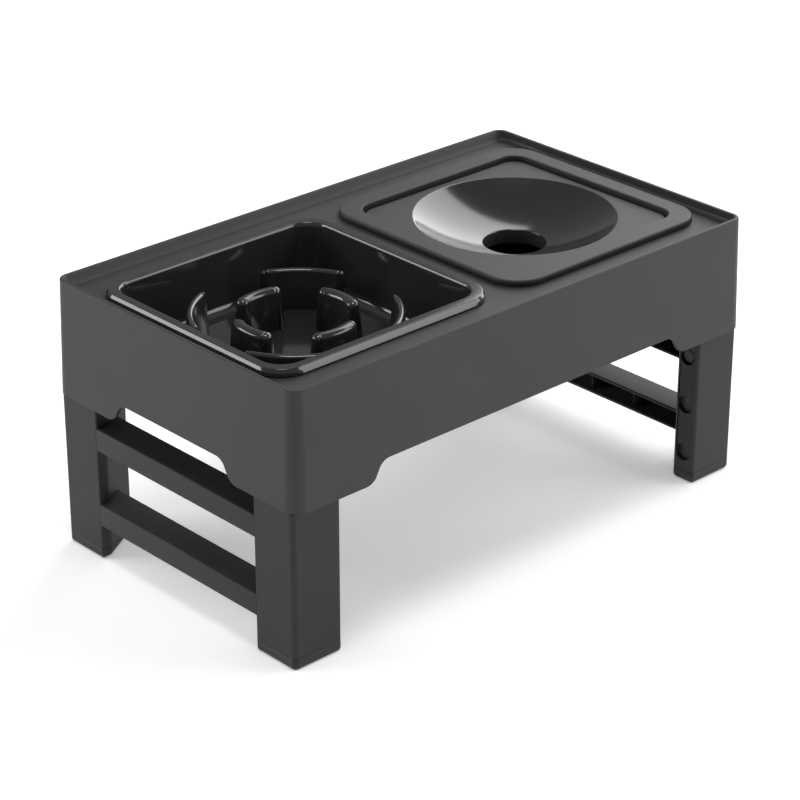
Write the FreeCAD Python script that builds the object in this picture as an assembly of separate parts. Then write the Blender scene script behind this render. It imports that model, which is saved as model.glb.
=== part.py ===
import FreeCAD, Part
import math
import os

Vector = FreeCAD.Vector
UP = Vector(0, 0, 1)

# Lengths are in millimetres and angles in degrees. X runs along the tray with the water bowl at +X, Y runs
# across it, Z is up, and the origin lies on the floor under the middle of the tray.

# Running gaps and cutting allowance
seat_gap = 0.3
slide_clearance = 0.3
socket_clearance = 0.35
well_clearance = 0.8
overrun = 5.0
crisp_corner_share = 0.125
level_tolerance = 0.001

# Layout of the two bowls on the deck
slow_end_margin = 13.7
water_end_margin = 10.3
bowl_spacing = 17.0
side_margin = 24.75

# Tray
stand_height = 195.0
apron_height = 83.0
tray_draft_angle = 1.6
tray_wall = 2.8
tray_corner_radius = 8.5
lip_height = 6.8
lip_outer_round = 1.0
lip_inner_round = 0.6
deck_thickness = 3.0
deck_fillet = 1.8
arch_rise = 14.4
arch_run = 20.0
front_arch_margin = 67.0
end_arch_margin = 64.0
well_flange_wall = 2.0
well_flange_depth = 8.0
deck_rib_thickness = 2.0
deck_rib_depth = 12.0
cross_rib_spacing = 9.0
socket_wall = 2.4

# Leg posts, seen in plan from their outer corner
leg_side_count = 5
leg_depth = 39.7
leg_end_width = 37.3
leg_inner_width = 18.0
leg_strip_depth = 7.5
leg_outer_round = 3.5
leg_front_round = 2.6
leg_inner_round = 2.2
leg_strip_round = 1.6
leg_end_round = 1.2
bore_round = 0.8
least_strip = 1.2
leg_wall = 2.6
leg_end_inset = 1.2
leg_side_inset = 4.0
shoulder_thickness = 3.0
tenon_height = 45.0
tenon_inset = 3.4
tenon_wall = 2.4
tenon_lead = 0.8
tenon_lead_height = 4.0

# Rails of the leg frames
rail_depth = 22.0
rail_height = 16.3
rail_wall = 2.6
rail_round = 0.9
rail_rib_thickness = 1.4
rail_rib_pitch = 41.5
rail_rib_count = 3
lower_rail_height = 25.6
upper_rail_drop = 29.9

# Height adjustment: holes, extension legs, snap buttons and their springs
hole_diameter = 13.0
hole_offset = 9.9
hole_count = 3
lowest_hole_height = 22.2
top_hole_drop = 11.4
guide_groove_depth = 1.5
extension_wall = 1.6
button_diameter = 9.8
button_clearance = 0.3
button_dome_round = 1.3
button_flange_height = 17.0
button_flange_thickness = 1.6
spring_leaf_thickness = 0.8
spring_leaf_width = 7.0
spring_leaf_drop = 25.0
spring_bend_radius = 2.0
spring_contact_gap = 0.1

# Foot caps
foot_cap_height = 7.7
foot_cap_round = 2.8
foot_plug_height = 10.0
foot_plug_wall = 2.0
foot_plug_clearance = 0.1

# Slow feeder bowl
slow_rim_length = 183.0
slow_rim_width = 179.0
slow_rim_radius = 12.0
slow_rim_height = 6.1
slow_rim_overhang = 3.6
slow_rim_slope_angle = 25.0
slow_rim_outer_round = 2.4
slow_rim_inner_round = 1.1
slow_rim_under_chamfer = 1.8
slow_body_radius = 18.5
slow_depth = 45.0
slow_wall = 2.4
slow_draft_angle = 6.0
slow_floor_fillet = 7.0
ridge_height = 29.0
ridge_root = 1.2
outer_ridge_radius = 69.0
outer_ridge_base = 8.0
outer_ridge_top = 4.4
outer_ridge_half_angle = 22.0
outer_ridge_start_angle = 45.0
inner_ridge_radius = 40.0
inner_ridge_base = 13.0
inner_ridge_top = 8.4
inner_ridge_half_angle = 20.0
inner_ridge_start_angle = 0.0
ridge_count = 4
ridge_round_share = 0.42

# Water bowl: cover frame, basin and float plate
cover_length = 186.0
cover_width = 189.0
cover_radius = 24.0
cover_plate = 2.0
cover_skirt = 2.2
cover_clearance = 0.4
cover_outer_round = 1.2
cover_end_border = 14.5
cover_side_border = 15.5
cover_opening_radius = 13.0
cover_opening_round = 0.9
cover_collar_depth = 4.5
cover_collar_wall = 1.8
basin_clearance = 0.9
basin_flange_thickness = 1.8
basin_wall = 2.4
basin_depth = 44.0
basin_draft_angle = 5.0
basin_floor_fillet = 6.0
float_gap = 2.0
float_recess = 3.4
float_plate_thickness = 2.4
float_edge_round = 1.1
float_skirt_depth = 12.0
float_skirt_wall = 1.8
float_tab_width = 16.0
float_tab_thickness = 2.0
float_tab_catch = 0.7
dish_margin = 7.5
dish_depth = 22.0
dish_wall = 2.2
dish_edge_round = 0.8
neck_diameter = 44.0
neck_wall = 2.0
neck_height = 8.0
neck_notch_width = 8.0
neck_notch_height = 3.0

# Sizes and levels that follow from the values above
tray_length = slow_end_margin + slow_rim_length + bowl_spacing + cover_length + water_end_margin
tray_width = max(slow_rim_width, cover_width) + 2 * side_margin
slow_centre_x = slow_end_margin + slow_rim_length / 2 - tray_length / 2
water_centre_x = tray_length / 2 - water_end_margin - cover_length / 2
apron_bottom = stand_height - apron_height
deck_top = stand_height - lip_height
deck_bottom = deck_top - deck_thickness
seat_level = deck_top + seat_gap
draft_slope = math.tan(math.radians(tray_draft_angle))
bottom_flare = apron_height * draft_slope
leg_x = tray_length / 2 + bottom_flare - leg_end_inset
leg_y = tray_width / 2 + bottom_flare - leg_side_inset
sleeve_bottom = foot_cap_height + seat_gap
shoulder_top = apron_bottom - seat_gap
shoulder_bottom = shoulder_top - shoulder_thickness
tenon_top = apron_bottom + tenon_height
extension_inset = leg_wall + slide_clearance
cavity_inset = extension_inset + extension_wall
extension_top = shoulder_bottom - seat_gap
top_hole_height = extension_top - top_hole_drop
hole_pitch = (top_hole_height - lowest_hole_height) / (hole_count - 1)
upper_rail_height = apron_bottom - upper_rail_drop
slow_rim_top = seat_level + slow_rim_height
slow_floor = slow_rim_top - slow_depth
basin_flange_top = seat_level + basin_flange_thickness
cover_bottom = basin_flange_top + seat_gap
cover_top = cover_bottom + cover_plate
cover_opening_length = cover_length - 2 * cover_end_border
cover_opening_width = cover_width - 2 * cover_side_border
dish_diameter = min(cover_opening_length, cover_opening_width) - 2 * dish_margin
basin_length = cover_opening_length + 2 * (cover_collar_wall + basin_clearance)
basin_width = cover_opening_width + 2 * (cover_collar_wall + basin_clearance)
basin_radius = cover_opening_radius + cover_collar_wall + basin_clearance
basin_floor = basin_flange_top - basin_depth
float_top = cover_top - float_recess

CORNERS = {"back_left": (-1, 1), "front_left": (-1, -1), "back_right": (1, 1), "front_right": (1, -1)}


# Shared outlines and solids


def block(x_ends, y_ends, z_ends):
    """Box between two ends along each axis, given in either order."""
    ends = (x_ends, y_ends, z_ends)
    sizes = [abs(last - first) for first, last in ends]
    return Part.makeBox(*sizes, Vector(*[min(pair) for pair in ends]))


def rounded_wire(points, radii):
    """Closed outline through the points, each corner rounded by its own radius."""
    edges = []
    starts_and_ends = []
    for index, here in enumerate(points):
        back = (points[index - 1] - here).normalize()
        ahead = (points[(index + 1) % len(points)] - here).normalize()
        half_angle = back.getAngle(ahead) / 2
        reach = radii[index] / math.tan(half_angle)
        start = here + back * reach
        end = here + ahead * reach
        middle = here + (back + ahead).normalize() * (radii[index] / math.sin(half_angle) - radii[index])
        starts_and_ends.append((start, end))
        edges.append(Part.Arc(start, middle, end).toShape())
        if index:
            edges.append(Part.makeLine(starts_and_ends[index - 1][1], start))
    edges.append(Part.makeLine(starts_and_ends[-1][1], starts_and_ends[0][0]))
    return Part.Wire(Part.__sortEdges__(edges))


def level_outline(length, width, radius, height, centre_x=0):
    """Level rectangle with rounded corners."""
    x, y = length / 2, width / 2
    signs = ((-1, -1), (1, -1), (1, 1), (-1, 1))
    points = [Vector(centre_x + sign_x * x, sign_y * y, height) for sign_x, sign_y in signs]
    return rounded_wire(points, [radius] * len(points))


def slab(length, width, radius, bottom, top, centre_x=0):
    """Upright prism on a rounded rectangle."""
    face = Part.Face(level_outline(length, width, radius, bottom, centre_x))
    return face.extrude(UP * (top - bottom))


def tapered_tub(length, width, radius, reference, bottom, top, draft_angle, centre_x):
    """Solid that narrows downwards and has the given size at the reference height."""
    wires = []
    for height in (bottom, top):
        shrink = (reference - height) * math.tan(math.radians(draft_angle))
        wires.append(level_outline(length - 2 * shrink, width - 2 * shrink, radius - shrink, height, centre_x))
    return Part.makeLoft(wires, True, True)


def level_edges(shape, height, centre_x=0, half_length=math.inf):
    """Edges that lie at one height, no farther along X from the centre than the half length."""
    limit = half_length + level_tolerance
    found = []
    for edge in shape.Edges:
        box = edge.BoundBox
        level = abs(box.ZMin - height) < level_tolerance and abs(box.ZMax - height) < level_tolerance
        if level and max(box.XMax - centre_x, centre_x - box.XMin) < limit:
            found.append(edge)
    return found


def inset_polygon(points, insets, least_side=0):
    """Corners of a convex outline whose sides move inwards, side i (from point i on) by its own inset.

    A side that shrinks below the least length is left out. Each corner comes with the number of its side.
    """
    middle_a = sum(point[0] for point in points) / len(points)
    middle_b = sum(point[1] for point in points) / len(points)
    sides = []
    for number, (first, second, inset) in enumerate(zip(points, points[1:] + points[:1], insets)):
        along_a, along_b = second[0] - first[0], second[1] - first[1]
        size = math.hypot(along_a, along_b)
        normal_a, normal_b = -along_b / size, along_a / size
        if normal_a * (middle_a - first[0]) + normal_b * (middle_b - first[1]) < 0:
            normal_a, normal_b = -normal_a, -normal_b
        level = normal_a * first[0] + normal_b * first[1] + inset
        sides.append((number, normal_a, normal_b, level, along_a / size, along_b / size))
    while True:
        corners = []
        for (_, a, b, level, _, _), (_, next_a, next_b, next_level, _, _) in zip(sides[-1:] + sides[:-1], sides):
            area = a * next_b - b * next_a
            corners.append(((level * next_b - next_level * b) / area, (a * next_level - next_a * level) / area))
        kept = []
        for side, start, end in zip(sides, corners, corners[1:] + corners[:1]):
            if side[4] * (end[0] - start[0]) + side[5] * (end[1] - start[1]) > least_side:
                kept.append(side)
        if len(kept) == len(sides):
            return [(side[0], corner) for side, corner in zip(sides, corners)]
        sides = kept


def leg_outline(corner, insets, height):
    """Outline of the five-sided post section at a height, its sides set in by the insets.

    The sides run: outer side, holed inner face, slanted face, rail strip, end face.
    """
    side_x, side_y = corner
    section = [
        (0, 0),
        (leg_depth, 0),
        (leg_depth, leg_inner_width),
        (leg_strip_depth, leg_end_width),
        (0, leg_end_width),
    ]
    rounds = (leg_outer_round, leg_front_round, leg_inner_round, leg_strip_round, leg_end_round)
    plan = inset_polygon(section, insets, least_strip)
    points = [Vector(side_x * (leg_x - u), side_y * (leg_y - v), height) for _, (u, v) in plan]
    radii = [max(rounds[number] - min(insets), bore_round) for number, _ in plan]
    return rounded_wire(points, radii)


def even_leg_outline(corner, inset, height):
    """Post section set in evenly all round."""
    return leg_outline(corner, [inset] * leg_side_count, height)


def even_leg_prism(corner, inset, bottom, top):
    """Upright prism on the evenly set in post section."""
    return Part.Face(even_leg_outline(corner, inset, bottom)).extrude(UP * (top - bottom))


def leg_place(corner, depth, height):
    """Point on the axis of a post's holes, at a depth in from the end face."""
    side_x, side_y = corner
    return Vector(side_x * (leg_x - depth), side_y * (leg_y - hole_offset), height)


# Tray


def tray_outline(height, inset):
    """Outline of the drafted apron at a height, set in from its outer face."""
    grow = (stand_height - height) * draft_slope - inset
    return level_outline(tray_length + 2 * grow, tray_width + 2 * grow, tray_corner_radius + grow, height)


def arch_cut(half_span, along, through):
    """Bar whose section is a low arch with S-shaped ends, to cut across the tray."""
    radius = (arch_run**2 + arch_rise**2) / (4 * arch_rise)
    half_turn = math.atan(arch_rise / arch_run)
    bulge = Vector(radius * math.sin(half_turn), 0, radius * math.cos(half_turn))
    reach = max(tray_length, tray_width)

    def place(span, height):
        return along * span + UP * height - through * reach

    def s_end(side):
        foot, middle, head = half_span + arch_run / 2, half_span, half_span - arch_run / 2
        half_height = apron_bottom + arch_rise / 2
        arch_top = apron_bottom + arch_rise
        lower_bend = place(side * (foot - bulge.x), apron_bottom + radius - bulge.z)
        upper_bend = place(side * (head + bulge.x), arch_top - radius + bulge.z)
        lower = Part.Arc(place(side * foot, apron_bottom), lower_bend, place(side * middle, half_height))
        upper = Part.Arc(place(side * middle, half_height), upper_bend, place(side * head, arch_top))
        drop = Part.makeLine(place(side * foot, apron_bottom - overrun), place(side * foot, apron_bottom))
        return [drop, lower.toShape(), upper.toShape()], place(side * head, arch_top)

    left_edges, left_head = s_end(-1)
    right_edges, right_head = s_end(1)
    base_half = half_span + arch_run / 2
    base_height = apron_bottom - overrun
    base = Part.makeLine(place(-base_half, base_height), place(base_half, base_height))
    crown = Part.makeLine(left_head, right_head)
    outline = Part.Wire(Part.__sortEdges__(left_edges + right_edges + [base, crown]))
    return Part.Face(outline).extrude(through * (2 * reach))


def leg_socket(corner, envelope):
    """Corner pocket that takes a leg's tenon, its walls reaching from the apron's edge to the deck."""
    pocket_inset = tenon_inset - socket_clearance
    lining = pocket_inset - socket_wall
    insets = [-leg_side_inset, lining, lining, lining, -leg_side_inset]
    body_height = deck_bottom + deck_thickness / 2 - apron_bottom
    body = Part.Face(leg_outline(corner, insets, apron_bottom)).extrude(UP * body_height)
    pocket = even_leg_prism(corner, pocket_inset, apron_bottom - overrun, deck_bottom)
    return body.common(envelope).cut(pocket)


def well_sizes():
    """Deck openings: length, width, corner radius and centre of each."""
    slow_cut = 2 * (slow_rim_overhang - well_clearance)
    slow = (slow_rim_length - slow_cut, slow_rim_width - slow_cut, slow_body_radius + well_clearance, slow_centre_x)
    water_grow = 2 * (basin_wall + well_clearance)
    water = (basin_length + water_grow, basin_width + water_grow, basin_radius + water_grow / 2, water_centre_x)
    return slow, water


def make_tray():
    envelope = Part.makeLoft([tray_outline(apron_bottom, 0), tray_outline(stand_height, 0)], True, True)
    envelope = envelope.makeFillet(lip_outer_round, level_edges(envelope, stand_height))
    pan = Part.makeLoft(
        [tray_outline(deck_top, tray_wall), tray_outline(stand_height + overrun, tray_wall)], True, True
    )
    pan = pan.makeFillet(deck_fillet, level_edges(pan, deck_top))
    cavity = Part.makeLoft(
        [tray_outline(apron_bottom - overrun, tray_wall), tray_outline(deck_bottom, tray_wall)], True, True
    )
    tray = envelope.cut(pan)
    inner_half = tray_length / 2 - tray_wall
    tray = tray.makeFillet(lip_inner_round, level_edges(tray, stand_height, 0, inner_half))
    tray = tray.cut(cavity)

    additions = [leg_socket(corner, envelope) for corner in CORNERS.values()]
    rib_bottom = deck_bottom - deck_rib_depth
    rib_top = deck_bottom + deck_thickness / 2
    long_rib_half = leg_x - leg_depth
    long_rib_y = (tray_width / 2 + cover_width / 2) / 2
    for side in (-1, 1):
        rib_faces = (side * long_rib_y, side * (long_rib_y + deck_rib_thickness))
        additions.append(block((-long_rib_half, long_rib_half), rib_faces, (rib_bottom, rib_top)))
    bridge_x = slow_centre_x + slow_rim_length / 2 + bowl_spacing / 2
    cross_half = tray_width / 2 - tray_wall / 2
    for side in (-1, 1):
        start = bridge_x + side * cross_rib_spacing / 2 - deck_rib_thickness / 2
        faces = (start, start + deck_rib_thickness)
        additions.append(block(faces, (-cross_half, cross_half), (rib_bottom, rib_top)))
    wells = []
    for length, width, radius, centre_x in well_sizes():
        flange_length = length + 2 * well_flange_wall
        flange_width = width + 2 * well_flange_wall
        flange_bottom = deck_bottom - well_flange_depth
        additions.append(
            slab(flange_length, flange_width, radius + well_flange_wall, flange_bottom, rib_top, centre_x)
        )
        wells.append(slab(length, width, radius, flange_bottom - overrun, stand_height, centre_x))
    tray = tray.fuse(additions).cut(wells)

    front_arch = arch_cut(tray_length / 2 - front_arch_margin, Vector(1, 0, 0), Vector(0, 1, 0))
    end_arch = arch_cut(tray_width / 2 - end_arch_margin, Vector(0, 1, 0), Vector(1, 0, 0))
    return tray.cut([front_arch, end_arch]).removeSplitter()


# Leg frames and what slides in them


def make_rail(side_x, bottom):
    """Channel rail that opens inwards, with thin upright stiffeners."""
    half_length = leg_y - leg_end_width / 2
    top = bottom + rail_height
    outer_x = side_x * leg_x
    inner_x = side_x * (leg_x - rail_depth)
    rail = block((outer_x, inner_x), (-half_length, half_length), (bottom, top))
    outer_edges = []
    for edge in rail.Edges:
        box = edge.BoundBox
        on_face = abs(abs(box.Center.x) - leg_x) < level_tolerance
        if on_face and box.YLength > box.ZLength:
            outer_edges.append(edge)
    rail = rail.makeFillet(rail_round, outer_edges)
    channel_x = (side_x * (leg_x - rail_wall), side_x * (leg_x - rail_depth - overrun))
    channel_y = (-half_length - overrun, half_length + overrun)
    rail = rail.cut(block(channel_x, channel_y, (bottom + rail_wall, top - rail_wall)))
    first_rib = -rail_rib_pitch * (rail_rib_count - 1) / 2
    ribs = []
    for index in range(rail_rib_count):
        middle = first_rib + index * rail_rib_pitch
        faces = (middle - rail_rib_thickness / 2, middle + rail_rib_thickness / 2)
        rib_x = (side_x * (leg_x - rail_wall / 2), side_x * (leg_x - rail_depth + rail_wall))
        ribs.append(block(rib_x, faces, (bottom + rail_wall / 2, top - rail_wall / 2)))
    return rail.fuse(ribs)


def make_leg_frame(side_x):
    """Ladder-shaped end frame: two hollow posts with tenons on top, joined by two rails."""
    corners = [(side_x, side_y) for side_y in (-1, 1)]
    posts = [even_leg_prism(corner, 0, sleeve_bottom, shoulder_top) for corner in corners]
    rails = [make_rail(side_x, bottom) for bottom in (lower_rail_height, upper_rail_height)]
    frame = posts[0].fuse(posts[1:] + rails)
    inner_wall_depth = leg_depth - leg_wall
    for corner in corners:
        lead_bottom = tenon_top - tenon_lead_height
        tenon = even_leg_prism(corner, tenon_inset, shoulder_bottom, lead_bottom)
        lead_outlines = [
            even_leg_outline(corner, tenon_inset, lead_bottom),
            even_leg_outline(corner, tenon_inset + tenon_lead, tenon_top),
        ]
        lead = Part.makeLoft(lead_outlines, True, True)
        hollow = even_leg_prism(corner, tenon_inset + tenon_wall, shoulder_top, tenon_top + overrun)
        bore = even_leg_prism(corner, leg_wall, sleeve_bottom - overrun, shoulder_bottom)
        cuts = [hollow, bore]
        outwards = Vector(-side_x, 0, 0)
        for index in range(hole_count):
            start = leg_place(corner, inner_wall_depth - leg_wall, lowest_hole_height + index * hole_pitch)
            cuts.append(Part.makeCylinder(hole_diameter / 2, 2 * leg_wall + overrun, start, outwards))
        groove_half = button_diameter / 2 + button_clearance
        groove_from = leg_place(corner, inner_wall_depth - leg_wall, sleeve_bottom - overrun)
        groove_to = leg_place(corner, inner_wall_depth + guide_groove_depth, top_hole_height)
        groove_y = (groove_from.y - groove_half, groove_from.y + groove_half)
        groove = block((groove_from.x, groove_to.x), groove_y, (groove_from.z, groove_to.z))
        groove_base = Vector(groove_from.x, groove_to.y, groove_to.z)
        groove_end = Part.makeCylinder(groove_half, abs(groove_to.x - groove_from.x), groove_base, outwards)
        frame = frame.fuse([tenon, lead]).cut(cuts + [groove, groove_end])
    return frame.removeSplitter()


def make_extension_leg(corner):
    """Inner leg that slides down out of a post, with a hole for its snap button."""
    leg = even_leg_prism(corner, extension_inset, foot_cap_height, extension_top)
    cavity = even_leg_prism(corner, cavity_inset, foot_cap_height - overrun, extension_top + overrun)
    start = leg_place(corner, leg_depth - cavity_inset - extension_wall, top_hole_height)
    radius = button_diameter / 2 + button_clearance
    hole = Part.makeCylinder(radius, 2 * extension_wall + leg_wall, start, Vector(-corner[0], 0, 0))
    return leg.cut([cavity, hole])


def make_foot_cap(corner):
    """End cap with a hollow plug that fills the bottom of the extension leg."""
    cap = even_leg_prism(corner, 0, 0, foot_cap_height)
    cap = cap.makeFillet(foot_cap_round, level_edges(cap, 0))
    plug_inset = cavity_inset + foot_plug_clearance
    plug_bottom = foot_cap_height - foot_plug_wall
    plug_top = foot_cap_height + foot_plug_height
    plug = even_leg_prism(corner, plug_inset, plug_bottom, plug_top)
    hollow = even_leg_prism(corner, plug_inset + foot_plug_wall, foot_cap_height, plug_top + overrun)
    return cap.fuse(plug).cut(hollow).removeSplitter()


def button_depths():
    """Depths from the post's end face: flange back, flange front and dome tip."""
    flange_front = leg_depth - cavity_inset - button_clearance / 2
    tip = leg_depth - leg_wall + guide_groove_depth - button_clearance
    return flange_front - button_flange_thickness, flange_front, tip


def make_snap_button(corner):
    """Domed pin on an oblong flange that bears on the inside of the extension leg."""
    back, front, tip = button_depths()
    outwards = Vector(-corner[0], 0, 0)
    start = leg_place(corner, back, top_hole_height)
    pin = Part.makeCylinder(button_diameter / 2, tip - back, start, outwards)
    tip_x = leg_place(corner, tip, top_hole_height).x
    rim = [edge for edge in pin.Edges if abs(edge.BoundBox.Center.x - tip_x) < level_tolerance]
    pin = pin.makeFillet(button_dome_round, rim)
    half_straight = (button_flange_height - button_diameter) / 2
    ends = []
    for side in (-1, 1):
        base = start + UP * (side * half_straight)
        ends.append(Part.makeCylinder(button_diameter / 2, front - back, base, outwards))
    flange_y = (start.y - button_diameter / 2, start.y + button_diameter / 2)
    flange_x = (start.x, leg_place(corner, front, top_hole_height).x)
    flange_z = (start.z - half_straight, start.z + half_straight)
    return pin.fuse(ends + [block(flange_x, flange_y, flange_z)]).removeSplitter()


def make_button_spring(corner):
    """Bent leaf spring between the button's flange and the far wall of the extension leg."""
    back = button_depths()[0]
    near = back - spring_contact_gap
    far = cavity_inset + spring_contact_gap
    bend = ((near + far) / 2, top_hole_height - spring_leaf_drop)
    triangle = [(near, top_hole_height), bend, (far, top_hole_height)]
    inner = inset_polygon(triangle, [spring_leaf_thickness, spring_leaf_thickness, 0])
    outline = triangle + [corner for _, corner in inner[::-1]]
    side_x, side_y = corner
    edge_y = side_y * (leg_y - hole_offset) - spring_leaf_width / 2
    points = [Vector(side_x * (leg_x - depth), edge_y, height) for depth, height in outline]
    tip_round = spring_leaf_thickness * crisp_corner_share
    bends = spring_bend_radius, spring_bend_radius + spring_leaf_thickness
    radii = [tip_round, bends[1], tip_round, tip_round, bends[0], tip_round]
    return Part.Face(rounded_wire(points, radii)).extrude(Vector(0, spring_leaf_width, 0))


# Slow feeder bowl


def maze_ridge(radius, base, top, half_angle, middle_angle):
    """Curved ridge with drafted sides, a rounded crest and rounded ends, centred on the bowl's axis."""
    foot, crest = slow_floor - ridge_root, slow_floor + ridge_height
    axis_point = Vector(slow_centre_x, 0, 0)
    crest_round = top * ridge_round_share

    def profile(inner_base, inner_top, radii):
        middle = slow_centre_x + radius
        points = [
            Vector(middle + inner_base, 0, foot),
            Vector(middle + inner_top, 0, crest),
            Vector(middle + top / 2, 0, crest),
            Vector(middle + base / 2, 0, foot),
        ]
        return Part.Face(rounded_wire(points, radii))

    foot_round = crest_round * crisp_corner_share
    section = profile(-base / 2, -top / 2, [foot_round, crest_round, crest_round, foot_round])
    section.rotate(axis_point, UP, middle_angle - half_angle)
    ridge = section.revolve(axis_point, UP, 2 * half_angle)
    ends = []
    for side in (-1, 1):
        half = profile(0, 0, [foot_round, foot_round, crest_round, foot_round])
        end = half.revolve(Vector(slow_centre_x + radius, 0, 0), UP, 360)
        end.rotate(axis_point, UP, middle_angle + side * half_angle)
        ends.append(end)
    return ridge.fuse(ends)


def make_slow_feeder_bowl():
    body_length = slow_rim_length - 2 * slow_rim_overhang
    body_width = slow_rim_width - 2 * slow_rim_overhang
    bottom = slow_floor - slow_wall
    slope_height = slow_rim_height - slow_rim_under_chamfer
    slope_inset = slope_height * math.tan(math.radians(slow_rim_slope_angle))
    rim_rows = (
        (slow_rim_under_chamfer, seat_level),
        (0, seat_level + slow_rim_under_chamfer),
        (slope_inset, slow_rim_top),
    )
    rim_wires = []
    for inset, height in rim_rows:
        rim_wires.append(level_outline(
            slow_rim_length - 2 * inset, slow_rim_width - 2 * inset, slow_rim_radius - inset, height, slow_centre_x
        ))
    rim = Part.makeLoft(rim_wires, True, True)
    rim = rim.makeFillet(slow_rim_outer_round, level_edges(rim, slow_rim_top))
    body = tapered_tub(
        body_length, body_width, slow_body_radius, seat_level, bottom, slow_rim_top - slow_wall,
        slow_draft_angle, slow_centre_x,
    )
    body = body.makeFillet(slow_floor_fillet + slow_wall, level_edges(body, bottom))
    cavity_length = body_length - 2 * slow_wall
    cavity = tapered_tub(
        cavity_length, body_width - 2 * slow_wall, slow_body_radius - slow_wall, seat_level, slow_floor,
        slow_rim_top + overrun, slow_draft_angle, slow_centre_x,
    )
    cavity = cavity.makeFillet(slow_floor_fillet, level_edges(cavity, slow_floor))
    bowl = rim.fuse(body).cut(cavity)
    inner_half = slow_rim_length / 2 - slow_rim_outer_round - level_tolerance
    mouth = level_edges(bowl, slow_rim_top, slow_centre_x, inner_half - slow_wall / 2)
    bowl = bowl.makeFillet(slow_rim_inner_round, mouth)
    rings = (
        (outer_ridge_radius, outer_ridge_base, outer_ridge_top, outer_ridge_half_angle, outer_ridge_start_angle),
        (inner_ridge_radius, inner_ridge_base, inner_ridge_top, inner_ridge_half_angle, inner_ridge_start_angle),
    )
    ridges = []
    for radius, base, top, half_angle, start_angle in rings:
        for index in range(ridge_count):
            ridges.append(maze_ridge(radius, base, top, half_angle, start_angle + index * 360 / ridge_count))
    return bowl.fuse(ridges).removeSplitter()


# Water bowl


def make_water_cover():
    cover = slab(cover_length, cover_width, cover_radius, seat_level, cover_top, water_centre_x)
    cover = cover.makeFillet(cover_outer_round, level_edges(cover, cover_top))
    underside = slab(
        cover_length - 2 * cover_skirt, cover_width - 2 * cover_skirt, cover_radius - cover_skirt,
        seat_level - overrun, cover_bottom, water_centre_x,
    )
    collar = slab(
        cover_opening_length + 2 * cover_collar_wall, cover_opening_width + 2 * cover_collar_wall,
        cover_opening_radius + cover_collar_wall, cover_bottom - cover_collar_depth, cover_top - cover_plate / 2,
        water_centre_x,
    )
    opening = slab(
        cover_opening_length, cover_opening_width, cover_opening_radius,
        cover_bottom - cover_collar_depth - overrun, cover_top + overrun, water_centre_x,
    )
    cover = cover.cut(underside).fuse(collar).cut(opening)
    edges = level_edges(cover, cover_top, water_centre_x, cover_opening_length / 2)
    return cover.makeFillet(cover_opening_round, edges).removeSplitter()


def make_water_basin():
    flange_cut = cover_skirt + cover_clearance
    flange = slab(
        cover_length - 2 * flange_cut, cover_width - 2 * flange_cut, cover_radius - flange_cut,
        seat_level, basin_flange_top, water_centre_x,
    )
    bottom = basin_floor - basin_wall
    body = tapered_tub(
        basin_length + 2 * basin_wall, basin_width + 2 * basin_wall, basin_radius + basin_wall,
        basin_flange_top, bottom, basin_flange_top, basin_draft_angle, water_centre_x,
    )
    body = body.makeFillet(basin_floor_fillet + basin_wall, level_edges(body, bottom))
    cavity = tapered_tub(
        basin_length, basin_width, basin_radius, basin_flange_top, basin_floor, basin_flange_top + overrun,
        basin_draft_angle, water_centre_x,
    )
    cavity = cavity.makeFillet(basin_floor_fillet, level_edges(cavity, basin_floor))
    return flange.fuse(body).cut(cavity).removeSplitter()


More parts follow.
